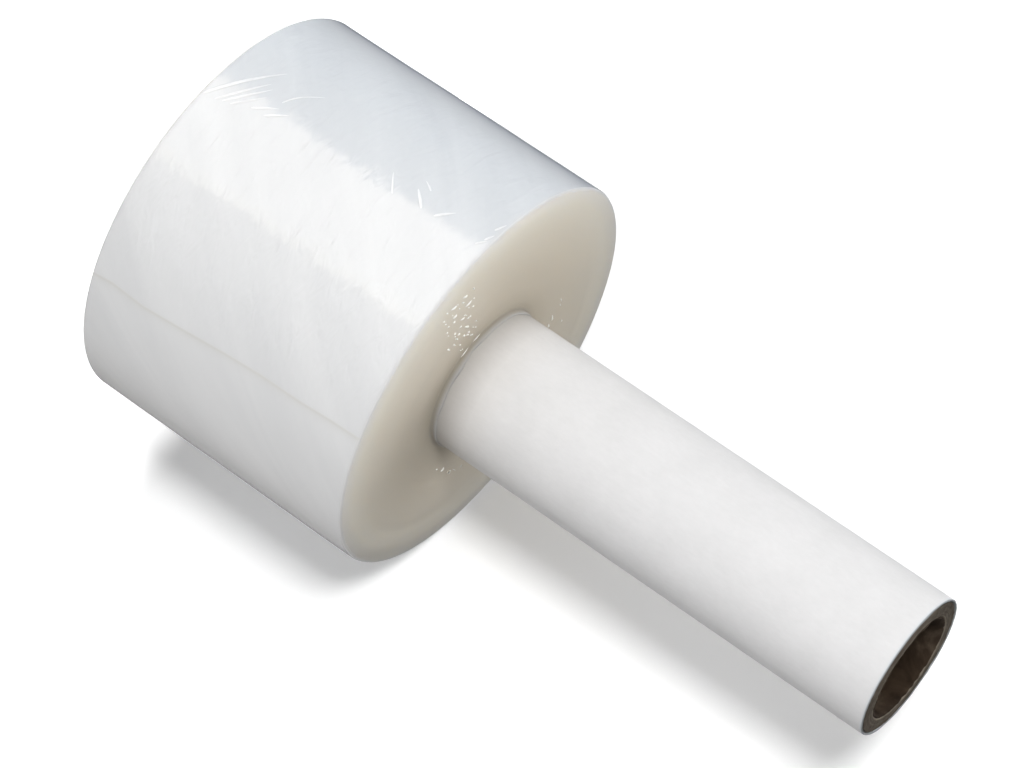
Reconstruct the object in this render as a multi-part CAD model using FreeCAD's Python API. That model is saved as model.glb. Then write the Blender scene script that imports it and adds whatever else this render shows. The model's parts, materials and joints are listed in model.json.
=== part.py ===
import FreeCAD, Part
import math
import os

# A hand roll of stretch wrap: film wound on a long paper core whose bare end is the handle.
# All lengths are in millimetres. The roll stands on its flat end, and its axis is +Z.

# Wound film
FILM_WIDTH = 76.2
ROLL_DIAMETER = 101.0
RIM_ROUNDING = 0.8

# Free edge of the film: the height of its ledge, and its bearing round the axis in degrees
TAIL_STEP = 0.2
TAIL_BEARING = -56.0

# Bands of turns that lie back from the end faces. Each has its place on the flat face,
# from 0 at the collar to 1 at the rim's rounding, and its width.
BACK_BANDS = ((0.46, 4.0),)
FRONT_BANDS = ((0.30, 4.0), (0.75, 2.5))
BAND_DEPTH = 0.15
BAND_FLANK = 0.4

# First turns, which stand out of the front face round the core
COLLAR_LENGTH = 1.6
COLLAR_THICKNESS = 0.35

# Paper core
CORE_BORE = 25.4
CORE_WALL = 5.08
HANDLE_LENGTH = 120.0
OUTER_PLY_THICKNESS = 0.55
INNER_PLY_THICKNESS = 0.5

# Where the outer ply has come away from the board at the handle's end
PLY_GAP_WIDTH = 0.3
PLY_GAP_DEPTH = 2.0

# Clearance on the radius between pieces that lie on one another
GLUE_LINE = 0.02

# Sizes that follow from those above
ROLL_RADIUS = ROLL_DIAMETER / 2
CORE_LENGTH = FILM_WIDTH + HANDLE_LENGTH
BORE_RADIUS = CORE_BORE / 2
CORE_RADIUS = BORE_RADIUS + CORE_WALL
FILM_INNER_RADIUS = CORE_RADIUS + GLUE_LINE
COLLAR_RADIUS = FILM_INNER_RADIUS + COLLAR_THICKNESS
FLAT_FACE_RADIUS = ROLL_RADIUS - TAIL_STEP - RIM_ROUNDING
BOARD_OUTER_RADIUS = CORE_RADIUS - OUTER_PLY_THICKNESS - GLUE_LINE
BOARD_INNER_RADIUS = BORE_RADIUS + INNER_PLY_THICKNESS + GLUE_LINE

ORIGIN = FreeCAD.Vector(0, 0, 0)
UP = FreeCAD.Vector(0, 0, 1)
HALF_TURN = 180
FULL_TURN = 360


def bearing(degrees, distance):
    """Point at a distance from the axis, in the plane of the back face."""
    angle = math.radians(degrees)
    return FreeCAD.Vector(distance * math.cos(angle), distance * math.sin(angle), 0)


def tube(inner_radius, outer_radius, bottom, top):
    """Plain tube about the axis."""
    outside = Part.makeCylinder(outer_radius, top - bottom, FreeCAD.Vector(0, 0, bottom))
    return outside.cut(Part.makeCylinder(inner_radius, top - bottom, FreeCAD.Vector(0, 0, bottom)))


def roll_outline(radius):
    """Half section of the solid roll, from the axis out to its rounded rims."""
    low, high = RIM_ROUNDING, FILM_WIDTH - RIM_ROUNDING
    shoulder = radius - RIM_ROUNDING
    lean = RIM_ROUNDING * math.sqrt(0.5)

    def at(x, z):
        return FreeCAD.Vector(x, 0, z)

    edges = [
        Part.makeLine(at(0, 0), at(shoulder, 0)),
        Part.Arc(at(shoulder, 0), at(shoulder + lean, low - lean), at(radius, low)).toShape(),
        Part.makeLine(at(radius, low), at(radius, high)),
        Part.Arc(at(radius, high), at(shoulder + lean, high + lean), at(shoulder, FILM_WIDTH)).toShape(),
        Part.makeLine(at(shoulder, FILM_WIDTH), at(0, FILM_WIDTH)),
        Part.makeLine(at(0, FILM_WIDTH), at(0, 0)),
    ]
    return Part.Face(Part.Wire(edges))


def half_roll(radius, centre, start):
    """Half a turn of the roll about its own centre, from a start bearing."""
    half = roll_outline(radius).revolve(ORIGIN, UP, HALF_TURN)
    half.rotate(ORIGIN, UP, start)
    half.translate(centre)
    return half


def solid_roll():
    """Two half turns of growing radius, which leave the ledge of the free edge where they close."""
    first = half_roll(ROLL_RADIUS - TAIL_STEP, ORIGIN, TAIL_BEARING)
    last = half_roll(
        ROLL_RADIUS - TAIL_STEP / 2, bearing(TAIL_BEARING, TAIL_STEP / 2), TAIL_BEARING + HALF_TURN
    )
    return first.fuse(last)


def band_cut(band, face_height, inward):
    """Shallow ring with sloping flanks, to be cut from an end face."""
    place, width = band
    middle = COLLAR_RADIUS + place * (FLAT_FACE_RADIUS - COLLAR_RADIUS)
    inner, outer = middle - width / 2, middle + width / 2
    deep = face_height + inward * BAND_DEPTH
    clear = face_height - inward * BAND_DEPTH
    corners = [
        FreeCAD.Vector(inner - BAND_FLANK, 0, clear),
        FreeCAD.Vector(inner + BAND_FLANK, 0, deep),
        FreeCAD.Vector(outer - BAND_FLANK, 0, deep),
        FreeCAD.Vector(outer + BAND_FLANK, 0, clear),
    ]
    section = Part.Face(Part.makePolygon(corners + corners[:1]))
    return section.revolve(ORIGIN, UP, FULL_TURN)


def film_roll():
    """Wound film with its free edge, banded end faces and the collar of its first turns."""
    collar = Part.makeCylinder(COLLAR_RADIUS, FILM_WIDTH + COLLAR_LENGTH)
    roll = solid_roll().fuse(collar)
    cuts = [band_cut(band, 0, 1) for band in BACK_BANDS]
    cuts += [band_cut(band, FILM_WIDTH, -1) for band in FRONT_BANDS]
    cuts.append(Part.makeCylinder(FILM_INNER_RADIUS, CORE_LENGTH))
    return roll.cut(cuts).removeSplitter()


def core_tube():
    """Board wall of the core, set back from the outer ply at the handle's end."""
    board = tube(BOARD_INNER_RADIUS, BOARD_OUTER_RADIUS, 0, CORE_LENGTH)
    gap = tube(BOARD_OUTER_RADIUS - PLY_GAP_WIDTH, CORE_RADIUS, CORE_LENGTH - PLY_GAP_DEPTH, CORE_LENGTH)
    return board.cut(gap)


def outer_ply():
    """White paper skin of the core."""
    return tube(CORE_RADIUS - OUTER_PLY_THICKNESS, CORE_RADIUS, 0, CORE_LENGTH)


def inner_liner():
    """Paper skin of the bore."""
    return tube(BORE_RADIUS, BORE_RADIUS + INNER_PLY_THICKNESS, 0, CORE_LENGTH)


os.makedirs("parts", exist_ok=True)
film_roll().exportStep("parts/film_roll.step")
core_tube().exportStep("parts/core_tube.step")
outer_ply().exportStep("parts/outer_ply.step")
inner_liner().exportStep("parts/inner_liner.step")
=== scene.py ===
import json
import math
import random

import bpy
import numpy as np
from mathutils import Matrix, Vector, noise


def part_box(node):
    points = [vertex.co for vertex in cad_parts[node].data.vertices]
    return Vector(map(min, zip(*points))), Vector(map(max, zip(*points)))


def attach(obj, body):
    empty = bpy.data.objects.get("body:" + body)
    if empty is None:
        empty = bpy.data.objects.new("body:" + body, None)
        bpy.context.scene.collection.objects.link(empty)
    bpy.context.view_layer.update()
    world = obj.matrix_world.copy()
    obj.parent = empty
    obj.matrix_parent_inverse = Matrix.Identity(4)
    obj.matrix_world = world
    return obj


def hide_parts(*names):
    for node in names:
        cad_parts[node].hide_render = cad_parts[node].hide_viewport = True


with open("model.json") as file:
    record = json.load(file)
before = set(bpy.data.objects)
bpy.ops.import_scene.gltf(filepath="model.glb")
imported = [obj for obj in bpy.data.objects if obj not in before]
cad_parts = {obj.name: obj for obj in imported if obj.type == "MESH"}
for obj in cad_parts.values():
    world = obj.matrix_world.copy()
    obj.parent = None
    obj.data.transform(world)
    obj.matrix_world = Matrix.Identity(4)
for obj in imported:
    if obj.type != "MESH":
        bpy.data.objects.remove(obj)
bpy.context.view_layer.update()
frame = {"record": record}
random.seed(11)

# Sizes of the part in millimetres. The mounts give the core's; the roll's facets fall a
# little short of its true round, so its radius is rounded to a tenth.
MM = 0.001
MOUNTS = {mount["name"]: mount["dims"] for mount in frame["record"]["mounts"]}
CORE_LENGTH = MOUNTS["core_bore"]["length_mm"]
LINER_INNER = MOUNTS["core_bore"]["r_mm"]
SKIN_OUTER = MOUNTS["handle_grip"]["r_mm"]
COLLAR_LENGTH = 1.6
FILM_WIDTH = round(CORE_LENGTH - MOUNTS["handle_grip"]["length_mm"] - COLLAR_LENGTH, 3)
ROLL_RADIUS = round(-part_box("film_roll")[0].y / MM, 1)
RIM_ROUNDING = 0.8

# Walls, and the clearances between the pieces. The skin has come a little off the board.
LINER_THICKNESS = 0.5
SKIN_THICKNESS = 0.53
COLLAR_THICKNESS = 0.33
GLUE_LINE = 0.04
LOOSE_GLUE_LINE = 0.07
PLY_GAP_WIDTH = 0.3
PLY_GAP_DEPTH = 2.0
LINER_OUTER = LINER_INNER + LINER_THICKNESS
BOARD_INNER = LINER_OUTER + GLUE_LINE
SKIN_INNER = SKIN_OUTER - SKIN_THICKNESS
BOARD_OUTER = SKIN_INNER - LOOSE_GLUE_LINE
FILM_INNER = SKIN_OUTER + GLUE_LINE
COLLAR_RADIUS = FILM_INNER + COLLAR_THICKNESS


# Mesh tools

def grid_object(name, points, material, attributes=None):
    """A mesh from points[row, column, xyz] in millimetres, closed both ways."""
    rows, columns = points.shape[:2]
    low = np.arange(rows * columns).reshape(rows, columns)
    high = np.roll(low, -1, axis=0)
    faces = np.stack([low, np.roll(low, -1, axis=1), np.roll(high, -1, axis=1), high], axis=-1)
    return mesh_object(name, points.reshape(-1, 3), faces.reshape(-1, 4), material, attributes)


def mesh_object(name, points, faces, material, attributes=None):
    """A smooth mesh object from points in millimetres, with values kept on its points."""
    mesh = bpy.data.meshes.new(name)
    mesh.from_pydata((np.asarray(points) * MM).tolist(), [], np.asarray(faces).tolist())
    mesh.polygons.foreach_set("use_smooth", [True] * len(mesh.polygons))
    for key, values in (attributes or {}).items():
        layer = mesh.attributes.new(key, "FLOAT", "POINT")
        layer.data.foreach_set("value", values.reshape(-1).astype(np.float32))
    mesh.materials.append(material)
    mesh.update()
    piece = bpy.data.objects.new(name, mesh)
    bpy.context.scene.collection.objects.link(piece)
    return piece


def smooth(low, high, x):
    """Smooth step from 0 at low to 1 at high."""
    t = np.clip((x - low) / (high - low), 0, 1)
    return t * t * (3 - 2 * t)


def field(x, y, z, scale, seed):
    """Smooth noise about 0 at points in millimetres, one wave about every scale millimetres."""
    x, y, z = np.broadcast_arrays(x, y, z)
    places = zip(x.reshape(-1) / scale + seed, y.reshape(-1) / scale, z.reshape(-1) / scale)
    return np.array([noise.noise(Vector(p)) for p in places]).reshape(x.shape)


def lathe(radius, bearing, height):
    """Points[row, column, xyz] from a radius, a bearing in radians and a height."""
    radius, bearing, height = np.broadcast_arrays(radius, bearing, height)
    return np.stack([radius * np.cos(bearing), radius * np.sin(bearing), height], axis=-1)


def column(*values):
    """Values as the rows of one column."""
    return np.array(values, float)[:, None]


# Wound film

FILM_COLUMNS = 540
SIDE_ROWS = 90
FACE_ROWS = 30
RIM_ROWS = 8
COLLAR_ROWS = 5

# The free edge wanders a little: its bearings in degrees at heights from back face to front,
# its step, and the degrees over which the painted reflection line along it fades behind it
TAIL_HEIGHTS = (0.0, 6.0, 15.0, 26.0, 38.0, 48.0, 60.0, 68.0, FILM_WIDTH)
TAIL_BEARINGS = (-54.2, -55.0, -54.4, -55.5, -56.9, -57.7, -57.9, -58.5, -58.8)
TAIL_STEP = 0.05
TAIL_FADE = 1.0

# Low lumps of the side: size, breadth, squeeze along the axis, and seed. The side is set in
# so that they stay inside the roll's true radius.
LUMPS = ((0.09, 26.0, 1.0, 3.1), (0.03, 9.0, 1.6, 8.4))
LUMP_ROOM = 0.06

# Bands of turns that lie back from the end faces, as their inner and outer radius. They and
# the ripple of single turns, as rate and phase, are a little off the axis.
FRONT_BANDS = ((25.6, 29.6), (40.4, 42.9))
BACK_BANDS = ((30.6, 34.6),)
BAND_DEPTH = 0.12
BAND_FLANK = 0.4
RIPPLES = ((2.9, 0.0), (5.3, 1.0))
RIPPLE_DEPTH = 0.012
OFF_AXIS = 0.25
OFF_AXIS_PHASE = 0.7
# Part of the rim's rounding over which they fade out
RIM_FADE = 0.6

# The front face stands proud towards its rim: by how much, and over which shares of the
# face's breadth and of the film's width
FRONT_PROUD = 0.3
PROUD_BREADTH = (0.55, 1.0)
PROUD_WIDTH = (0.8, 1.0)

# Uneven collar: the radius, breadths and seeds of its noise, the share of its length that
# changes, the change of its lean, its lean inward at the top, and the drop of its inner lip
COLLAR_NOISE_RADIUS = 18.0
COLLAR_RISE_NOISE = (7.0, 5.5)
COLLAR_LEAN_NOISE = (5.0, 2.5)
COLLAR_RISE_CHANGE = 0.45
COLLAR_LEAN_CHANGE = 0.06
COLLAR_LEAN = 0.15
COLLAR_LIP_DROP = 0.1


def film_section():
    """The roll's section as rows of (share of the face's breadth, part of the rim's rounding,
    height, part of the collar), from the bore's foot out and back to the collar's top."""
    rows = [(share, 0, 0, 0) for share in np.linspace(0, 1, FACE_ROWS, endpoint=False)]
    for angle in np.linspace(0, math.pi / 2, RIM_ROWS):
        rows.append((1, math.sin(angle), RIM_ROUNDING * (1 - math.cos(angle)), 0))
    for z in np.linspace(RIM_ROUNDING, FILM_WIDTH - RIM_ROUNDING, SIDE_ROWS)[1:-1]:
        rows.append((1, 1, z, 0))
    for angle in np.linspace(math.pi / 2, 0, RIM_ROWS):
        rows.append((1, math.sin(angle), FILM_WIDTH - RIM_ROUNDING * (1 - math.cos(angle)), 0))
    rows += [(share, 0, FILM_WIDTH, 0) for share in np.linspace(1, 0, FACE_ROWS)[1:]]
    rows += [(0, 0, FILM_WIDTH, part) for part in np.linspace(0, 1, COLLAR_ROWS)[1:]]
    return np.array(rows, float)


def rim_radius(height, rounding, turn, bearing):
    """Radius at the rim and side, which grows by the free edge's step in a turn and is lumpy."""
    x, y = ROLL_RADIUS * np.cos(bearing), ROLL_RADIUS * np.sin(bearing)
    lumps = sum(
        size * field(x, y, height * squeeze, breadth, seed) for size, breadth, squeeze, seed in LUMPS
    )
    return ROLL_RADIUS - TAIL_STEP * (1 - turn) - LUMP_ROOM + lumps * smooth(0, 1, rounding)


def in_bands(radius, bands):
    """1 inside the bands and 0 outside, with smooth flanks."""
    edges = [
        smooth(inner - BAND_FLANK, inner + BAND_FLANK, radius)
        - smooth(outer - BAND_FLANK, outer + BAND_FLANK, radius)
        for inner, outer in bands
    ]
    return sum(edges)


def sunk_turns(radius, bearing, rounding, is_front):
    """How far the turns lie back from the end faces."""
    wander = radius + OFF_AXIS * np.sin(bearing + OFF_AXIS_PHASE)
    bands = np.where(is_front, in_bands(wander, FRONT_BANDS), in_bands(wander, BACK_BANDS))
    ripple = 1 + sum(0.5 * np.sin(wander * rate + phase) for rate, phase in RIPPLES)
    return (BAND_DEPTH * bands + RIPPLE_DEPTH * ripple) * (1 - smooth(0, RIM_FADE, rounding))


def collar_shape(bearing, part):
    """Rise and outward lean of the collar at a part of its height."""
    x, y = COLLAR_NOISE_RADIUS * np.cos(bearing), COLLAR_NOISE_RADIUS * np.sin(bearing)
    rise = COLLAR_LENGTH * (1 + COLLAR_RISE_CHANGE * field(x, y, 0.0, *COLLAR_RISE_NOISE))
    lean = COLLAR_LEAN_CHANGE * part * field(x, y, 0.0, *COLLAR_LEAN_NOISE)
    return part * rise, lean - COLLAR_LEAN * part ** 2


def film_mesh(material):
    """The wound film. Its points know how far they are on the side, and near the free edge, where a
    painted reflection line lies.
    """
    section = film_section()
    share, rounding, height, collar = (section[:, i][:, None] for i in range(4))
    turn = np.linspace(0, 1, FILM_COLUMNS, endpoint=False)[None, :]
    bearing = np.radians(np.interp(height, TAIL_HEIGHTS, TAIL_BEARINGS) + 360 * turn)
    outer = rim_radius(height, rounding, turn, bearing)
    radius = COLLAR_RADIUS + share * (outer - RIM_ROUNDING - COLLAR_RADIUS) + rounding * RIM_ROUNDING
    is_front = height > FILM_WIDTH / 2
    sunk = sunk_turns(radius, bearing, rounding, is_front)
    proud = FRONT_PROUD * smooth(*PROUD_BREADTH, share) * smooth(*PROUD_WIDTH, height / FILM_WIDTH)
    rise, lean = collar_shape(bearing, collar)
    z = height + np.where(is_front, proud - sunk, sunk) + rise
    outside = lathe(radius + lean, bearing, z)
    inner_top = lathe(FILM_INNER, bearing[-1], z[-1] - COLLAR_LIP_DROP)
    inner_foot = lathe(FILM_INNER, bearing[0], 0.0)
    points = np.concatenate([outside, inner_top[None], inner_foot[None]])
    is_side = np.concatenate([rounding, column(0, 0)]) + 0 * turn
    # Behind the free edge a thin line is marked, to be tinted as the border of a painted reflection.
    values = {"side": is_side, "tail_reflection": is_side * np.exp(-turn * 360 / TAIL_FADE)}
    return grid_object("film_wrap", points, material, values)


# Loose strands and caught light: low ribbons, tapered to both ends

# Sides of a ribbon's section, where its taper starts and ends, and how blunt it is
RIBBON_SIDES = 8
RIBBON_END = 0.02
RIBBON_TAPER = 0.7
# Strands of the side: their points, how far their middle line lies below the surface, the
# half height of their lens, and the lean that moves their widest place
STRAND_STEPS = 14
STRAND_SUNK = 0.04
STRAND_RISE = 0.06
STRAND_LEAN = 0.6
# Dashes of the face: their points, their depth, and their thickness as a share of the width
# that they are given
GLINT_STEPS = 8
GLINT_SUNK = 0.02
GLINT_SHARE = 0.32


def sliver(path, normals, width, rise, lean=1.0):
    """Points and faces of a ribbon with a lens-shaped section, along a path in millimetres.
    A lean below 1 puts its widest place nearer to its start."""
    along = np.gradient(path, axis=0)
    along /= np.linalg.norm(along, axis=1)[:, None]
    across = np.cross(normals, along)
    places = np.linspace(RIBBON_END, 1 - RIBBON_END, len(path))
    taper = np.sin(math.pi * places ** lean)[:, None] ** RIBBON_TAPER
    rings = []
    for angle in np.linspace(0, 2 * math.pi, RIBBON_SIDES, endpoint=False):
        offset = 0.5 * width * math.cos(angle) * across + rise * math.sin(angle) * normals
        rings.append(path + taper * offset - rise * (1 - taper) * normals)
    points = np.stack(rings, axis=1).reshape(-1, 3)
    faces = []
    for i in range(len(path) - 1):
        for k in range(RIBBON_SIDES):
            a, b = i * RIBBON_SIDES + k, i * RIBBON_SIDES + (k + 1) % RIBBON_SIDES
            faces.append((a, b, b + RIBBON_SIDES, a + RIBBON_SIDES))
    return points, faces


def joined_slivers(name, slivers, material):
    """One object from many slivers."""
    points, faces, start = [], [], 0
    for own_points, own_faces in slivers:
        points.append(own_points)
        faces += [tuple(start + i for i in face) for face in own_faces]
        start += len(own_points)
    return mesh_object(name, np.concatenate(points), faces, material)


def side_sliver(bearing_a, z_a, bearing_b, z_b, sag, width):
    """A strand that lies on the film's side from one bearing and height to another."""
    t = np.linspace(0, 1, STRAND_STEPS)
    bearing = np.radians(bearing_a + (bearing_b - bearing_a) * t)
    z = z_a + (z_b - z_a) * t + sag * np.sin(math.pi * t)
    path = lathe(ROLL_RADIUS - STRAND_SUNK, bearing, z)
    return sliver(path, lathe(1.0, bearing, 0.0), width, STRAND_RISE, STRAND_LEAN)


def face_sliver(radius_a, bearing_a, radius_b, bearing_b, width):
    """A strand that stands up from the front face like a low fin."""
    t = np.linspace(0, 1, GLINT_STEPS)
    bearing = np.radians(bearing_a + (bearing_b - bearing_a) * t)
    path = lathe(radius_a + (radius_b - radius_a) * t, bearing, FILM_WIDTH - GLINT_SUNK)
    up = np.tile((0.0, 0.0, 1.0), (GLINT_STEPS, 1))
    return sliver(path, up, GLINT_SHARE * width, GLINT_SHARE * width)


# Bearing and height of both ends, sag along the axis, and width of the strands that stand at
# the upper border of the bright stripe
SIDE_STRANDS = (
    (-110.5, 0.9, -129.2, 11.6, -0.3, 1.0), (-111.0, 4.0, -123.6, 11.1, 0.1, 0.7),
    (-111.6, 5.6, -122.4, 12.4, 0.2, 0.7), (-112.2, 7.6, -119.4, 12.8, 0.1, 0.6),
    (-114.5, 12.0, -118.6, 17.0, -0.1, 0.7), (-120.6, 16.4, -129.9, 22.9, -1.1, 0.45),
    (-114.6, 15.5, -118.6, 19.9, 0.0, 0.7), (-117.4, 58.6, -122.9, 53.4, 0.2, 0.8),
    (-116.0, 51.4, -123.0, 46.8, 0.0, 0.5), (-123.2, 57.2, -125.3, 54.1, 0.3, 0.5),
    (-117.6, 62.0, -121.9, 65.2, -0.1, 0.8), (-124.0, 74.6, -127.4, 75.6, 0.0, 0.6),
    (-119.9, 74.6, -122.6, 75.5, 0.0, 0.6), (-117.6, 73.6, -120.0, 75.2, 0.0, 0.6),
)
# Strands scattered round the far side: their count, and the spans for their bearing, height,
# turn, climb, sag and width
FAR_STRANDS = 28
FAR_STRAND_SPANS = ((0, 165), (4, 68), (-5, 5), (1.0, 4.0), (-0.4, 0.4), (0.25, 0.5))

# Radius and bearing of both ends, and width, of each dash of caught light on the front face
FACE_GLINTS = (
    (40.2, -112.9, 39.6, -111.9, 1.3), (40.6, -107.0, 39.8, -109.8, 1.3),
    (36.0, -106.9, 35.8, -111.6, 1.0), (41.6, -101.2, 40.4, -104.7, 1.1),
    (42.6, -99.6, 42.0, -100.4, 1.2), (37.4, -100.6, 37.2, -103.5, 1.1),
    (33.2, -103.2, 32.2, -106.4, 0.9), (28.2, -104.6, 26.6, -107.4, 1.2),
    (44.6, -104.2, 44.2, -105.0, 0.8), (25.6, -101.4, 25.2, -103.6, 0.9),
    (24.6, -103.6, 24.2, -105.0, 0.8), (22.6, -105.6, 21.6, -109.4, 0.8),
    (28.0, -97.8, 27.4, -98.8, 1.2), (24.2, -97.4, 23.7, -98.5, 1.0),
    (28.2, -91.6, 27.6, -92.6, 1.1), (21.6, -95.8, 21.2, -97.0, 0.8),
    (23.6, -110.6, 23.2, -112.4, 0.8), (24.8, -109.0, 24.3, -110.2, 0.7),
    (38.4, -104.4, 38.0, -105.2, 0.7), (33.4, -95.6, 33.0, -96.4, 0.7),
    (26.8, -95.2, 26.4, -96.2, 0.7), (18.5, -106.0, 18.5, -117.0, 0.5),
    (18.5, -92.0, 18.5, -103.5, 0.5), (25.8, 24.0, 25.3, 24.8, 0.6),
    (27.3, 30.8, 26.0, 32.4, 0.7), (29.6, 38.6, 28.8, 41.2, 0.7),
    (29.0, 42.6, 30.6, 46.0, 0.7), (30.6, 48.6, 30.0, 50.0, 0.8),
)
# Scattered dashes: the spans for the radius, bearing and length of the near ones, and for the
# bearing and length of the far ones, which crowd towards the core. Slant is how far inward
# a dash runs.
GLINT_WIDTH = 0.7
NEAR_GLINTS = 26
NEAR_GLINT_SPANS = ((20.5, 41), (-112, -95), (0.4, 1.2))
NEAR_GLINT_SLANT = 0.3
FAR_GLINTS = 16
FAR_GLINT_RADIUS = 20
FAR_GLINT_BREADTH = 14
FAR_GLINT_CROWDING = 1.5
FAR_GLINT_SPANS = ((80, 150), (0.8, 2.4))
FAR_GLINT_SLANT = 0.2


def drawn(spans):
    """One random value from each span, in their order."""
    return [random.uniform(*span) for span in spans]


def scattered_glint(radius, bearing, length, slant):
    """A dash that runs round the axis for its length, and inward by its slant."""
    swing = math.degrees(length / radius)
    return face_sliver(radius, bearing, radius - slant, bearing + swing, GLINT_WIDTH)


def loose_strands(material):
    """Strands listed at the bright stripe's border, and scattered ones round the far side."""
    strands = [side_sliver(*strand) for strand in SIDE_STRANDS]
    for _ in range(FAR_STRANDS):
        bearing, z, turn, climb, sag, width = drawn(FAR_STRAND_SPANS)
        strands.append(side_sliver(bearing, z, bearing + turn, z + climb, sag, width))
    return joined_slivers("film_strands", strands, material)


def face_glints(material):
    """Dashes listed in the two places that the picture shows, and scattered ones."""
    glints = [face_sliver(*glint) for glint in FACE_GLINTS]
    for _ in range(NEAR_GLINTS):
        radius, bearing, length = drawn(NEAR_GLINT_SPANS)
        glints.append(scattered_glint(radius, bearing, -length, NEAR_GLINT_SLANT))
    for _ in range(FAR_GLINTS):
        radius = FAR_GLINT_RADIUS + FAR_GLINT_BREADTH * random.random() ** FAR_GLINT_CROWDING
        bearing, length = drawn(FAR_GLINT_SPANS)
        glints.append(scattered_glint(radius, bearing, length, FAR_GLINT_SLANT))
    return joined_slivers("face_glints", glints, material)


# Paper core

CORE_COLUMNS = 288
ROUND = np.linspace(0, 2 * math.pi, CORE_COLUMNS, endpoint=False)[None, :]
ROUND_X, ROUND_Y = np.cos(ROUND), np.sin(ROUND)

# Layers of noise are given by size, breadth and seed.

# Skin: where its wall ends and how far its inner wall is seen, below the core's end; the
# rounded end's drop, height, shift inward and first angle; and its wear, with the heights
# between which it sets in
SKIN_SHOULDER = 1.2
SKIN_DEPTH = 3.0
SKIN_END_DROP = 0.53
SKIN_END_HEIGHT = 0.42
SKIN_END_SHIFT = 0.03
SKIN_END_ANGLE = 0.15
SKIN_END_ROWS = 8
SKIN_END_NOISE = ((0.10, 6.0, 1.3), (0.05, 1.6, 4.3))
SKIN_FOOT = 70.0
SKIN_ROWS = 90
WEAR_NOISE = ((0.05, 14.0, 9.1),)
WEAR_RADIUS = 17
WEAR_HEIGHTS = (82, 92)

# Board: how far its end lies back, and the end's inner and outer margin; its raised plies,
# with their rate and their sway round the core; and its ragged lip at the bore
BOARD_DROP = 0.12
BOARD_STEP_DROP = 0.3
BOARD_MARGINS = (0.2, 0.1)
BOARD_END_ROWS = 40
BOARD_END_NOISE = ((0.10, 1.1, 6.6), (0.12, 5.0, 2.2))
PLY_RIDGE = 0.09
PLY_RATE = 2.7
PLY_SWAY = 0.4
LIP_NOISE = ((0.28, 1.5, 7.7),)
LIP_MARGIN = 0.02
LIP_DROP = 0.4
LIP_DEPTH = 1.5

# Liner: its torn upper edge, with the lip's rows as radius and drop, and its dented wall
BORE_NOISE_RADIUS = 13
TEARS = ((0.5, 3.0, 3.3), (0.25, 0.9, 8.3))
TEAR_DROP = 0.05
LINER_LIP = (
    (LINER_OUTER, 0.1), (LINER_OUTER - 0.15, 0.0), (LINER_INNER + 0.15, 0.0), (LINER_INNER, 0.12),
)
LINER_OUTER_DROP = 2.0
LINER_INNER_DROP = 1.5
LINER_ROWS = 60
DENTS = ((0.06, 6.0, 5.1),)
DENT_RADIUS = 12


def waves(radius, layers, height=0.0):
    """Layers of noise round a circle, or over a tube where there are several heights."""
    x, y = ROUND_X * radius, ROUND_Y * radius
    return [size * field(x, y, height, breadth, seed) for size, breadth, seed in layers]


def dents(radius, layers, height=0.0):
    """The sum of such layers with every wave turned the same way."""
    return sum(np.abs(wave) for wave in waves(radius, layers, height))


def skin_mesh(material):
    """White paper skin with a soft, slightly uneven end."""
    shoulder = CORE_LENGTH - SKIN_SHOULDER
    heights = np.concatenate([[0.0], np.linspace(SKIN_FOOT, shoulder, SKIN_ROWS)])[:, None]
    wear = dents(WEAR_RADIUS, WEAR_NOISE, heights) * smooth(*WEAR_HEIGHTS, heights)
    outer = lathe(SKIN_OUTER - wear, ROUND, heights)
    angles = np.linspace(SKIN_END_ANGLE, math.pi - SKIN_END_ANGLE, SKIN_END_ROWS)[:, None]
    middle, half = (SKIN_OUTER + SKIN_INNER) / 2 - SKIN_END_SHIFT, (SKIN_OUTER - SKIN_INNER) / 2
    uneven = sum(waves(SKIN_OUTER, SKIN_END_NOISE))
    end_height = CORE_LENGTH - SKIN_END_DROP + SKIN_END_HEIGHT * np.sin(angles) + uneven
    end = lathe(middle + half * np.cos(angles), ROUND, end_height)
    inner = lathe(SKIN_INNER, ROUND, column(shoulder, CORE_LENGTH - SKIN_DEPTH, 0))
    return grid_object("paper_skin", np.concatenate([outer, end, inner]), material)


def board_mesh(material):
    """Board wall, with its plies shown on the end and a ragged inner edge."""
    gap_floor, gap_wall = CORE_LENGTH - PLY_GAP_DEPTH, BOARD_OUTER - PLY_GAP_WIDTH
    outer_wall = lathe(BOARD_OUTER, ROUND, column(0, gap_floor))
    step = lathe(gap_wall, ROUND, column(gap_floor, CORE_LENGTH - BOARD_STEP_DROP))
    inner_margin, outer_margin = BOARD_MARGINS
    radii = np.linspace(gap_wall - outer_margin, BOARD_INNER + inner_margin, BOARD_END_ROWS)[:, None]
    plies = PLY_RIDGE * np.abs(np.sin(radii * PLY_RATE + PLY_SWAY * ROUND_Y)) ** 3
    rough = sum(waves(radii, BOARD_END_NOISE))
    end = lathe(radii, ROUND, CORE_LENGTH - BOARD_DROP - plies + rough)
    ragged = dents(BORE_NOISE_RADIUS, LIP_NOISE)
    lip = lathe(BOARD_INNER + LIP_MARGIN + ragged, ROUND, CORE_LENGTH - LIP_DROP - ragged)
    inner = lathe(BOARD_INNER, ROUND, column(CORE_LENGTH - LIP_DEPTH, 0))
    return grid_object("board_tube", np.concatenate([outer_wall, step, end, lip, inner]), material)


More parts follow.
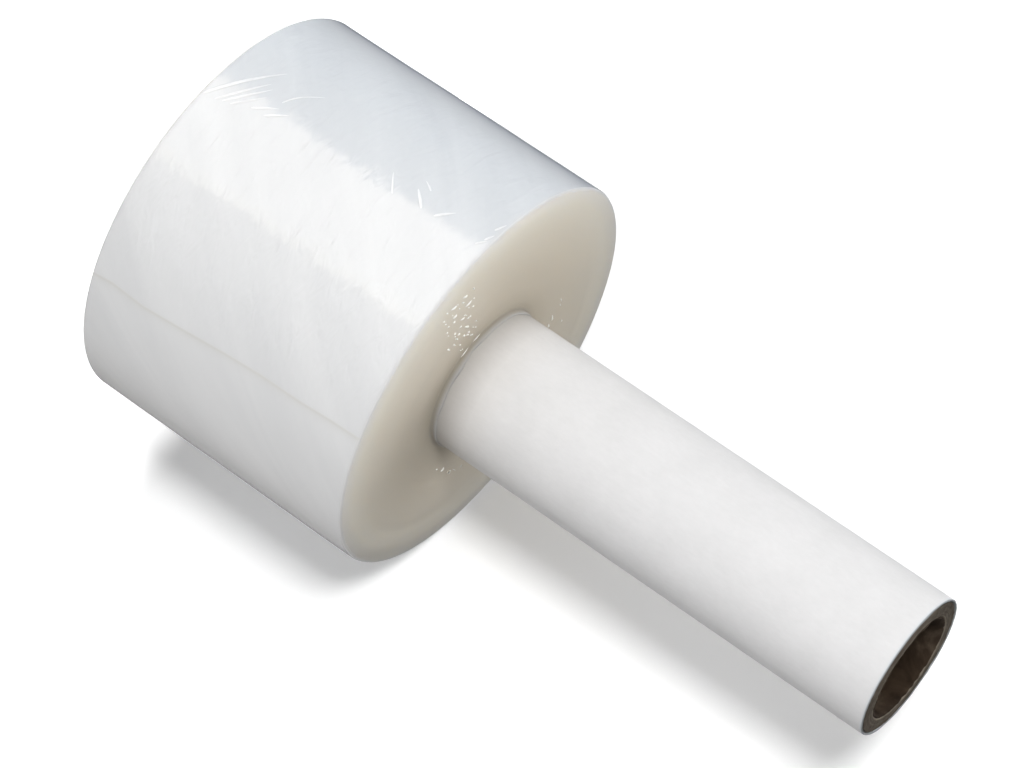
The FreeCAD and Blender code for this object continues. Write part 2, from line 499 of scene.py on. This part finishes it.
def liner_mesh(material):
    """Skin of the bore, with a torn upper edge."""
    top = CORE_LENGTH - TEAR_DROP - dents(BORE_NOISE_RADIUS, TEARS)
    outer = lathe(LINER_OUTER, ROUND, column(0, CORE_LENGTH - LINER_OUTER_DROP))
    edge = np.concatenate([lathe(radius, ROUND, top - drop) for radius, drop in LINER_LIP])
    heights = np.linspace(CORE_LENGTH - LINER_INNER_DROP, 0, LINER_ROWS)[:, None]
    inner = lathe(LINER_INNER + dents(DENT_RADIUS, DENTS, heights), ROUND, heights)
    return grid_object("liner_sleeve", np.concatenate([outer, edge, inner]), material)


# Shader tools

LAYERS_IN_A_METRE = 3000.0


class NodeTree:
    """The node tree of a material or the world, with short calls for the nodes used here."""

    def __init__(self, owner):
        owner.use_nodes = True
        self.nodes, self.links = owner.node_tree.nodes, owner.node_tree.links

    def node(self, kind, inputs=(), output=0, **settings):
        """A node with its settings and inputs; gives the output that is asked for."""
        node = self.nodes.new(kind)
        for key, value in settings.items():
            setattr(node, key, value)
        for key, value in dict(inputs).items():
            self.feed(node.inputs[key], value)
        return node.outputs[output]

    def feed(self, socket, value):
        """Links another node's output to a socket, or sets its value."""
        if isinstance(value, bpy.types.NodeSocket):
            self.links.new(value, socket)
        elif isinstance(value, tuple) and socket.type == "RGBA":
            socket.default_value = (*value, 1.0)
        else:
            socket.default_value = value

    def math(self, operation, a, b=0.0, c=0.0, clamp=False):
        return self.node("ShaderNodeMath", {0: a, 1: b, 2: c}, operation=operation, use_clamp=clamp)

    def share(self, value, start, breadth):
        """Where a value lies, from 0 at the start to 1 at the end of a breadth."""
        return self.math("DIVIDE", self.math("SUBTRACT", value, start), breadth, clamp=True)

    def grown(self, value, start, breadth, power):
        """Distance past a start as a share of a breadth, to a power, and 0 before it."""
        past = self.math("DIVIDE", self.math("SUBTRACT", value, start), breadth)
        return self.math("POWER", self.math("MAXIMUM", past, 0.0), power)

    def spread(self, value, low, high, to_low=0.0, to_high=1.0, kind="SMOOTHSTEP"):
        """A value between low and high brought to another span."""
        inputs = {"Value": value, "From Min": low, "From Max": high, "To Min": to_low, "To Max": to_high}
        return self.node("ShaderNodeMapRange", inputs, interpolation_type=kind)

    def split(self, vector):
        return [self.node("ShaderNodeSeparateXYZ", {0: vector}, axis) for axis in range(3)]

    def towards(self, vector, degrees):
        """How far a vector reaches in the direction of a bearing."""
        angle = math.radians(degrees)
        inputs = {0: vector, 1: (math.cos(angle), math.sin(angle), 0.0)}
        return self.node("ShaderNodeVectorMath", inputs, "Value", operation="DOT_PRODUCT")

    def noise(self, vector, scale, detail=2.0, roughness=0.5, distortion=0.0):
        inputs = {"Vector": vector, "Scale": scale, "Detail": detail, "Roughness": roughness}
        return self.node("ShaderNodeTexNoise", inputs | {"Distortion": distortion}, "Fac")

    def ramp(self, value, *stops):
        node = self.nodes.new("ShaderNodeValToRGB")
        elements = node.color_ramp.elements
        while len(elements) < len(stops):
            elements.new(0.5)
        for element, (place, colour) in zip(elements, stops):
            element.position = place
            element.color = (*colour, 1.0)
        self.links.new(value, node.inputs["Fac"])
        return node.outputs["Color"]

    def mix(self, factor, a, b, blend="MIX"):
        inputs = {0: factor, 6: a, 7: b}
        return self.node("ShaderNodeMix", inputs, 2, data_type="RGBA", blend_type=blend)

    def mix_shader(self, factor, a, b):
        return self.node("ShaderNodeMixShader", {0: factor, 1: a, 2: b})


class Shader(NodeTree):
    """A new material."""

    def __init__(self, name):
        self.material = bpy.data.materials.new(name)
        super().__init__(self.material)
        self.surface = self.nodes["Principled BSDF"]

    def set(self, **values):
        for key, value in values.items():
            self.feed(self.surface.inputs[key.replace("_", " ")], value)

    def attribute(self, name):
        return self.node("ShaderNodeAttribute", output="Fac", attribute_name=name)

    def bump(self, height, distance, normal=None):
        inputs = {"Height": height, "Distance": distance}
        if normal is not None:
            inputs["Normal"] = normal
        return self.node("ShaderNodeBump", inputs)

    def place(self):
        """Object coordinates, distance from the axis, and height, in metres."""
        source = self.node("ShaderNodeTexCoord", output="Object")
        x, y, z = self.split(source)
        square = self.math("ADD", self.math("MULTIPLY", x, x), self.math("MULTIPLY", y, y))
        return source, self.math("SQRT", square), z

    def stretched(self, source, scale, shift=(0.0, 0.0, 0.0)):
        return self.node("ShaderNodeMapping", {"Vector": source, "Scale": scale, "Location": shift})

    def twisted(self, source, height, slope, squeeze):
        """Coordinates turned with the height, so that a texture runs slantwise round the roll,
        and drawn out or squeezed along the axis."""
        angle = self.math("MULTIPLY", height, -slope / (ROLL_RADIUS * MM))
        inputs = {"Vector": source, "Angle": angle}
        turned = self.node("ShaderNodeVectorRotate", inputs, rotation_type="Z_AXIS")
        return self.stretched(turned, (1.0, 1.0, squeeze))

    def layered(self, radius, height_part):
        """Coordinates that change fast with the distance from the axis, for rings of plies."""
        inputs = {0: self.math("MULTIPLY", radius, LAYERS_IN_A_METRE), 2: height_part}
        return self.node("ShaderNodeCombineXYZ", inputs)


# Materials. Lengths in them are in metres.

# End faces: where their colours start, over what breadth, and the colours from core to rim: the
# film's cream, with painted shade that darkens it towards the core and at the handle's foot, and
# painted light that brightens the rim. The collar's colour, partly the film over the paper and
# partly painted shade, sets in above its foot, and a thin tint behind the free edge paints the
# border of a reflection on the milky side.
FACE_START = 0.0178
FACE_BREADTH = 0.0327
FACE_CREAM_AND_SHADE = (
    (0.0, (0.32, 0.285, 0.235)), (0.035, (0.49, 0.44, 0.355)), (0.08, (0.56, 0.505, 0.41)),
    (0.19, (0.615, 0.555, 0.455)), (0.43, (0.67, 0.61, 0.505)), (0.68, (0.735, 0.68, 0.575)),
    (0.86, (0.81, 0.77, 0.67)), (0.96, (0.84, 0.815, 0.76)), (1.0, (0.80, 0.795, 0.775)),
)
COLLAR_SHADE_COLOUR = (0.48, 0.465, 0.44)
COLLAR_FOOT = 0.0004
COLLAR_FADE = 0.0008
MILKY_COLOURS = ((0.35, (0.672, 0.676, 0.682)), (0.65, (0.716, 0.719, 0.722)))
TAIL_REFLECTION_COLOUR = (0.64, 0.635, 0.615)

# The turns at the end faces lean outward, more and more towards the rim: the fall of the
# surface they lie on, where it starts, over what breadth, and how fast it grows
FACE_LEAN = 0.0054
FACE_LEAN_START = 0.018
FACE_LEAN_BREADTH = 0.031
FACE_LEAN_POWER = 2.55
RIM_LEAN = 0.00095
RIM_LEAN_START = 0.0455
RIM_LEAN_BREADTH = 0.0041
RIM_LEAN_POWER = 2.0

# Heights of the film's wrinkles, waves and rings of turns
FINE_HEIGHT = 0.000004
MIDDLE_HEIGHT = 0.000015
TEETH_HEIGHT = 0.00034
BROAD_HEIGHT = 0.0004
RING_HEIGHT = 0.000012

# Middle of the stretch of the side that has the most wrinkles, and the cosines of the angles
# from it at which they start and are full
CREASED_BEARING = -105.0
CREASED_START = 0.55
CREASED_FULL = 0.85

# Refraction of the film, roughness of its end faces, how much smoother the side is, and how
# late on the rim the gloss and the side's colour set in
FILM_IOR = 1.5
SATIN = 0.42
SIDE_GLOSS = 0.37
GLOSS_POWER = 6.0
COLOUR_POWER = 0.8

# Light that goes into the end faces: its share, how far each colour goes, and the scale
SUBSURFACE_SHARE = 0.4
SUBSURFACE_REACH = (1.0, 0.9, 0.75)
SUBSURFACE_SCALE = 0.003


def film_colour(s, source, radius, z, side):
    """Cream end faces, with painted shade towards the core and painted light at the rim, a collar in
    partly painted shade, and a milky side with a faint painted reflection line behind the free edge.
    """
    # Painted shade darkens the end faces towards the core and at the handle's foot; painted light
    # brightens their rim.
    depth = s.share(radius, FACE_START, FACE_BREADTH)
    above = s.share(z, FILM_WIDTH * MM + COLLAR_FOOT, COLLAR_FADE)
    # Above its foot the collar takes a colour that is partly the film over the paper and partly painted
    # shade.
    on_collar = s.math("MULTIPLY", above, s.math("SUBTRACT", 1.0, depth))
    cream = s.mix(on_collar, s.ramp(depth, *FACE_CREAM_AND_SHADE), COLLAR_SHADE_COLOUR)
    slant = s.twisted(source, z, slope=1.0, squeeze=0.3)
    cloudy = s.noise(slant, scale=60.0, detail=4.0, roughness=0.55, distortion=0.5)
    # A thin tint behind the free edge paints the border of a reflection on the side.
    milky = s.mix(s.attribute("tail_reflection"), s.ramp(cloudy, *MILKY_COLOURS), TAIL_REFLECTION_COLOUR)
    return s.mix(s.math("POWER", side, COLOUR_POWER), cream, milky)


def film_relief(s, source, radius, z, side, on_face):
    """The lean of the turns on the end faces, and the wrinkles of the side."""
    outward = s.grown(radius, FACE_LEAN_START, FACE_LEAN_BREADTH, FACE_LEAN_POWER)
    rim = s.grown(radius, RIM_LEAN_START, RIM_LEAN_BREADTH, RIM_LEAN_POWER)
    fall = s.math("MULTIPLY_ADD", rim, RIM_LEAN, s.math("MULTIPLY", outward, FACE_LEAN))
    slant = s.twisted(source, z, slope=1.0, squeeze=0.3)
    counter = s.twisted(source, z, slope=-1.6, squeeze=0.35)
    steep = s.twisted(source, z, slope=0.6, squeeze=3.2)
    facing = s.math("DIVIDE", s.towards(source, CREASED_BEARING), radius)
    creased = s.spread(facing, CREASED_START, CREASED_FULL)
    fine = s.noise(slant, scale=520.0, detail=1.0, distortion=0.3)
    middle = s.noise(counter, scale=260.0, distortion=0.6)
    teeth = s.noise(steep, scale=120.0, roughness=0.6, distortion=0.6)
    broad = s.noise(source, scale=34.0, detail=1.0)
    rings = s.noise(s.layered(radius, 0.0), scale=1.0)
    relief = s.bump(s.math("MULTIPLY", fall, -1.0), 1.0)
    relief = s.bump(s.math("MULTIPLY", fine, side), FINE_HEIGHT, relief)
    relief = s.bump(s.math("MULTIPLY", middle, side), MIDDLE_HEIGHT, relief)
    relief = s.bump(s.math("MULTIPLY", teeth, s.math("MULTIPLY", side, creased)), TEETH_HEIGHT, relief)
    relief = s.bump(s.math("MULTIPLY", broad, side), BROAD_HEIGHT, relief)
    return s.bump(s.math("MULTIPLY", rings, on_face), RING_HEIGHT, relief)


def film_material():
    """Milky film: glossy and finely wrinkled on the side, cream and satin on the end faces."""
    s = Shader("stretch_film")
    source, radius, z = s.place()
    side = s.attribute("side")
    on_face = s.math("SUBTRACT", 1.0, side)
    gloss = s.math("POWER", side, GLOSS_POWER)
    s.set(Base_Color=film_colour(s, source, radius, z, side))
    s.set(Normal=film_relief(s, source, radius, z, side, on_face))
    s.set(Roughness=s.math("ADD", s.math("MULTIPLY", gloss, -SIDE_GLOSS), SATIN), IOR=FILM_IOR)
    s.set(Subsurface_Weight=s.math("MULTIPLY", on_face, SUBSURFACE_SHARE))
    s.set(Subsurface_Radius=SUBSURFACE_REACH, Subsurface_Scale=SUBSURFACE_SCALE)
    return s.material


def bright_material(name, scale, dark, light, roughness):
    """Film that stands loose, coloured lighter than the roll: a painted highlight of the light it
    catches.
    """
    s = Shader(name)
    source, _, _ = s.place()
    s.set(Base_Color=s.ramp(s.noise(source, scale), (0.3, dark), (0.7, light)))
    s.set(Roughness=roughness, IOR=FILM_IOR)
    return s.material


def glint_material():
    """Torn film edges on the front face, near white: painted glints."""
    return bright_material("glint_white_film", 900.0, (0.95, 0.94, 0.90), (0.98, 0.975, 0.95), 0.5)


def strand_material():
    """Glossy strands on the side, lighter than the film: a painted highlight."""
    return bright_material("strand_highlight_film", 700.0, (0.83, 0.83, 0.83), (0.89, 0.89, 0.885), 0.18)


# White paper: its mottle, its painted shade over a stretch of the handle next to the roll,
# partly also the film's first turns lying on it, its painted bluish shade over the cut end, and
# the height of its fibres
PAPER_COLOURS = ((0.3, (0.720, 0.716, 0.716)), (0.7, (0.777, 0.772, 0.774)))
SHADED_STRETCH = 0.016
SHADE = (
    (0.0, (0.56, 0.54, 0.50)), (0.25, (0.76, 0.74, 0.715)), (0.55, (0.97, 0.96, 0.945)),
    (1.0, (1.0, 1.0, 1.0)),
)
PAPER_END = 0.001
PAPER_END_SHADE = ((0.0, (1.0, 1.0, 1.0)), (0.52, (0.90, 0.93, 0.95)), (0.80, (0.36, 0.385, 0.40)))
FIBRE_HEIGHT = 0.00004


def paper_material():
    """White paper with a faint mottle, greyer next to the roll: painted shade, and partly the film's
    first turns lying on it.
    """
    s = Shader("white_paper")
    source, _, z = s.place()
    mottle = s.noise(source, scale=110.0, detail=4.0, roughness=0.6)
    fibres = s.noise(s.stretched(source, (1.0, 1.0, 0.4)), scale=1100.0, detail=3.0, roughness=0.6)
    tone = s.math("ADD", s.math("MULTIPLY", mottle, 0.6), s.math("MULTIPLY", fibres, 0.4))
    # Painted shade next to the roll, partly standing for the film's first turns on the paper.
    shade = s.ramp(s.share(z, FILM_WIDTH * MM, SHADED_STRETCH), *SHADE)
    # Painted bluish shade over the rounded cut end.
    edge = s.ramp(s.share(z, CORE_LENGTH * MM - PAPER_END, PAPER_END), *PAPER_END_SHADE)
    shaded = s.mix(1.0, s.ramp(tone, *PAPER_COLOURS), shade, "MULTIPLY")
    s.set(Base_Color=s.mix(1.0, shaded, edge, "MULTIPLY"))
    s.set(Normal=s.bump(fibres, FIBRE_HEIGHT), Roughness=0.85)
    return s.material


# Board: its blotches, the breadth of its pale lip where it meets the bore, the height
# of its roughness, and how fast its plies change along the axis
BOARD_COLOURS = (
    (0.35, (0.046, 0.036, 0.027)), (0.5, (0.10, 0.083, 0.064)), (0.65, (0.18, 0.152, 0.12)),
)
PALE_LIP_BOARD = (0.34, 0.29, 0.23)
LIP_BREADTH = 0.0007
BOARD_ROUGH_HEIGHT = 0.0003
PLY_CHANGE = 60.0


def board_material():
    """Grey-brown board, blotched and layered, with one side of its end darker: painted shade."""
    s = Shader("grey_board")
    source, radius, z = s.place()
    blotch = s.noise(source, scale=320.0, detail=4.0, roughness=0.65)
    # This broad blotch is shifted so that one side of the end comes out darker: painted shade.
    broad = s.noise(s.stretched(source, (1.0, 1.0, 1.0), (0.31, 0.2, 0.0)), scale=45.0)
    plies = s.noise(s.layered(radius, s.math("MULTIPLY", z, PLY_CHANGE)), scale=1.0, detail=3.0)
    tone = s.math("ADD", s.math("MULTIPLY", blotch, 0.4), s.math("MULTIPLY", plies, 0.3))
    tone = s.math("ADD", tone, s.math("MULTIPLY", broad, 0.3))
    from_bore = s.math("DIVIDE", s.math("SUBTRACT", radius, BOARD_INNER * MM), LIP_BREADTH)
    pale_lip = s.math("ADD", from_bore, s.math("MULTIPLY", blotch, 0.5), clamp=True)
    s.set(Base_Color=s.mix(pale_lip, PALE_LIP_BOARD, s.ramp(tone, *BOARD_COLOURS)))
    s.set(Normal=s.bump(tone, BOARD_ROUGH_HEIGHT), Roughness=0.9)
    return s.material


# Liner: dark brown, its darkest tones painted shade of the deep bore.
LINER_COLOURS = (
    (0.3, (0.012, 0.007, 0.004)), (0.55, (0.042, 0.028, 0.018)), (0.75, (0.10, 0.075, 0.054)),
)
STAIN_HEIGHT = 0.0003


def liner_material():
    """Dark brown paper with stains; its darkest tones are painted shade of the deep bore."""
    s = Shader("brown_liner")
    source, _, _ = s.place()
    stains = s.noise(source, scale=130.0, detail=4.0, roughness=0.65, distortion=0.6)
    s.set(Base_Color=s.ramp(stains, *LINER_COLOURS))
    s.set(Normal=s.bump(stains, STAIN_HEIGHT), Roughness=0.85)
    return s.material


# Floor and backdrop. Reach and clearance are in millimetres, the others in metres. The bare
# floor starts and is full at two distances across the picture's line of sight.

FLOOR_WHITE = 0.97
FLOOR_BOUNCE = 0.84
FLOOR_LIFT = 0.5
BARE_FLOOR = (0.015, 0.05)
BACKDROP_BEARING = 64.4
BACKDROP_LIFT = 0.11
BACKDROP_FOOT = 0.014
STAGE_REACH = 6000.0
STAGE_CLEARANCE = 0.2


def stage_shader(name, lift, others):
    """White to the camera, with a lift that keeps the open ground white and leaves its shadows.
    Other rays, and the camera from behind, meet the shader given for them."""
    s = Shader(name)
    s.nodes.remove(s.surface)
    is_camera = s.node("ShaderNodeLightPath", output="Is Camera Ray")
    plain = s.node("ShaderNodeBsdfDiffuse", {"Color": (FLOOR_WHITE,) * 3})
    glow = s.node("ShaderNodeEmission", {"Strength": lift(s)})
    seen = s.node("ShaderNodeAddShader", {0: plain, 1: glow})
    facing = s.math("SUBTRACT", 1.0, s.node("ShaderNodeNewGeometry", output="Backfacing"))
    result = s.mix_shader(s.math("MULTIPLY", is_camera, facing), others(s), seen)
    s.links.new(result, s.nodes["Material Output"].inputs["Surface"])
    return s.material


def floor_lift(s):
    """Whiter on the side where the picture's ground is bare."""
    source, _, _ = s.place()
    across = s.towards(source, BACKDROP_BEARING - 90)
    return s.spread(across, *BARE_FLOOR, FLOOR_LIFT, 1.0)


def floor_for_light(s):
    """The film's side would mirror the floor everywhere, so mirror rays pass through it to the
    studio pattern of the world."""
    is_mirror = s.node("ShaderNodeLightPath", output="Is Glossy Ray")
    plain = s.node("ShaderNodeBsdfDiffuse", {"Color": (FLOOR_BOUNCE,) * 3})
    return s.mix_shader(is_mirror, plain, s.node("ShaderNodeBsdfTransparent"))


def backdrop_lift(s):
    """Bright at its foot, so that it joins the floor without a line."""
    _, _, z = s.place()
    return s.spread(z, 0.0, BACKDROP_FOOT, 1.0, BACKDROP_LIFT)


def backdrop_for_light(s):
    return s.node("ShaderNodeBsdfTransparent")


def build_floor():
    reach, low = STAGE_REACH, -STAGE_CLEARANCE
    corners = [(-reach, -reach, low), (reach, -reach, low), (reach, reach, low), (-reach, reach, low)]
    material = stage_shader("floor_white", floor_lift, floor_for_light)
    mesh_object("floor", corners, [(0, 1, 2, 3)], material)


def build_backdrop():
    """A white card that stands close behind the roll, as the table does on which it lies in
    the picture, and takes its shadow. Only the camera meets it, and only from the front."""
    angle = math.radians(BACKDROP_BEARING)
    out = np.array((math.cos(angle), math.sin(angle), 0.0))
    along = np.array((-out[1], out[0], 0.0))
    near = (ROLL_RADIUS + STAGE_CLEARANCE) * out
    top = np.array((0.0, 0.0, STAGE_REACH))
    left, right = near + STAGE_REACH * along, near - STAGE_REACH * along
    corners = [left, right, right + top, left + top]
    material = stage_shader("backdrop_white", backdrop_lift, backdrop_for_light)
    mesh_object("backdrop", corners, [(0, 1, 2, 3)], material)


# World

# What the film mirrors, by bearing in degrees from the camera's side towards -X
STUDIO = (
    (-180, (0.2, 0.2, 0.2)), (-150, (0.55, 0.54, 0.53)), (-130, (1.1, 1.08, 1.06)),
    (-110, (1.6, 1.58, 1.56)), (-50, (1.9, 1.9, 1.88)), (-10, (2.8, 2.8, 2.78)),
    (2.2, (3.1, 3.1, 3.1)), (2.8, (5.3, 5.2, 4.7)), (9, (5.1, 5.1, 5.0)), (56.5, (5.0, 5.0, 5.0)),
    (57.0, (1.3, 1.8, 2.3)), (80, (0.85, 1.35, 1.85)), (100, (0.6, 1.05, 1.5)),
    (120, (0.3, 0.55, 0.85)), (136, (0.2, 0.35, 0.5)), (150, (0.1, 0.15, 0.25)),
    (180, (0.1, 0.12, 0.15)),
)
# The room above the pattern and the ground below it, and the slopes between which each takes
# over, from 1 straight up to -1 straight down
STUDIO_UPPER = (0.3, 0.29, 0.27)
UPPER_SLOPES = (0.12, -0.12)
STUDIO_LOWER = (0.8, 0.8, 0.8)
LOWER_SLOPES = (-0.55, -0.8)
# Strength that stands for 1 in the pattern's colours, which end there
STUDIO_TOP = 6.0
WORLD_GREY = (0.12, 0.12, 0.123)


def studio_part(colour):
    """A colour of the studio as a share of its top strength."""
    return tuple(value / STUDIO_TOP for value in colour)


def build_world():
    """White to the camera, the studio to mirror rays, and a weak even grey to all others."""
    world = bpy.data.worlds.new("studio")
    bpy.context.scene.world = world
    w = NodeTree(world)
    w.nodes.clear()
    x, y, slope = w.split(w.node("ShaderNodeTexCoord", output="Generated"))
    turn = w.math("ARCTAN2", w.math("MULTIPLY", x, -1.0), w.math("MULTIPLY", y, -1.0))
    share = w.math("MULTIPLY_ADD", turn, 1 / (2 * math.pi), 0.5)
    stops = [(0.5 + degrees / 360, studio_part(colour)) for degrees, colour in STUDIO]
    below_upper = w.spread(slope, *UPPER_SLOPES, kind="LINEAR")
    on_ground = w.spread(slope, *LOWER_SLOPES, kind="LINEAR")
    pattern = w.mix(below_upper, studio_part(STUDIO_UPPER), w.ramp(share, *stops))
    pattern = w.mix(on_ground, pattern, studio_part(STUDIO_LOWER))
    mirrored = w.node("ShaderNodeBackground", {"Color": pattern, "Strength": STUDIO_TOP})
    plain = w.node("ShaderNodeBackground", {"Color": WORLD_GREY})
    white = w.node("ShaderNodeBackground", {"Color": (1.0, 1.0, 1.0)})
    is_mirror = w.node("ShaderNodeLightPath", output="Is Glossy Ray")
    is_camera = w.node("ShaderNodeLightPath", output="Is Camera Ray")
    seen = w.mix_shader(is_camera, w.mix_shader(is_mirror, plain, mirrored), white)
    w.links.new(seen, w.nodes.new("ShaderNodeOutputWorld").inputs["Surface"])


# Lamps and camera

LAMP_AIM = Vector((0, 0, 0.08))
# Name, bearing in degrees from the camera's side towards -X, elevation, distance and size in
# metres, and level, which is what a white sheet square to the lamp would show
LAMPS = (
    ("key", 17, 18, 1.4, 0.35, 0.64),
    ("left", 108, 27, 1.4, 1.1, 0.38),
    ("right", -40, 18, 1.4, 0.6, 0.155),
    ("rear", -160, 30, 1.4, 1.0, 0.085),
    ("bounce", -108, 12, 1.4, 1.0, 0.07),
    ("top", 120, 80, 1.3, 0.5, 0.11),
)

# The photograph's focal length and width in pixels, and where its camera stands and how it is
# turned in the part's frame
FOCAL_PIXELS = 4055.0
PICTURE_WIDTH = 1024.0
SENSOR_WIDTH = 36.0
CAMERA_PLACE = (0, -0.87024, 0.38494)
CAMERA_BACK = (0.0029, -0.9449, 0.3275)
CAMERA_RIGHT = (-0.5614, 0.2694, 0.7824)
CLIP_START = 0.05
CLIP_END = 20.0


def build_lamp(name, bearing, elevation, distance, size, level):
    """A round soft lamp that neither the camera nor mirrors see."""
    turn, rise = math.radians(-90 - bearing), math.radians(elevation)
    flat = math.cos(rise)
    towards = Vector((math.cos(turn) * flat, math.sin(turn) * flat, math.sin(rise)))
    data = bpy.data.lights.new(name, "AREA")
    data.shape = "DISK"
    data.size = size
    data.energy = level * math.pi ** 2 * distance ** 2
    lamp = bpy.data.objects.new(name, data)
    bpy.context.scene.collection.objects.link(lamp)
    lamp.location = LAMP_AIM + distance * towards
    lamp.rotation_mode = "QUATERNION"
    lamp.rotation_quaternion = (-towards).to_track_quat("-Z", "Y")
    lamp.visible_camera = False
    lamp.visible_glossy = False


def build_camera():
    """The photograph's view, turned about its line of sight so that the roll's axis lies as in
    the picture."""
    data = bpy.data.cameras.new("camera")
    data.sensor_width = SENSOR_WIDTH
    data.lens = FOCAL_PIXELS / PICTURE_WIDTH * SENSOR_WIDTH
    data.clip_start, data.clip_end = CLIP_START, CLIP_END
    camera = bpy.data.objects.new("camera", data)
    bpy.context.scene.collection.objects.link(camera)
    back = Vector(CAMERA_BACK).normalized()
    right = Vector(CAMERA_RIGHT)
    right = (right - back * right.dot(back)).normalized()
    turn = Matrix((right, back.cross(right), back)).transposed()
    camera.matrix_world = Matrix.Translation(CAMERA_PLACE) @ turn.to_4x4()
    bpy.context.scene.camera = camera


# The part

def add_piece(piece, node=None):
    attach(piece, "root")
    if node:
        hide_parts(node)


add_piece(film_mesh(film_material()), "film_roll")
add_piece(loose_strands(strand_material()))
add_piece(face_glints(glint_material()))
add_piece(skin_mesh(paper_material()), "outer_ply")
add_piece(board_mesh(board_material()), "core_tube")
add_piece(liner_mesh(liner_material()), "inner_liner")

build_floor()
build_backdrop()
build_world()
for lamp in LAMPS:
    build_lamp(*lamp)
build_camera()
bpy.context.scene.view_settings.view_transform = "Standard"
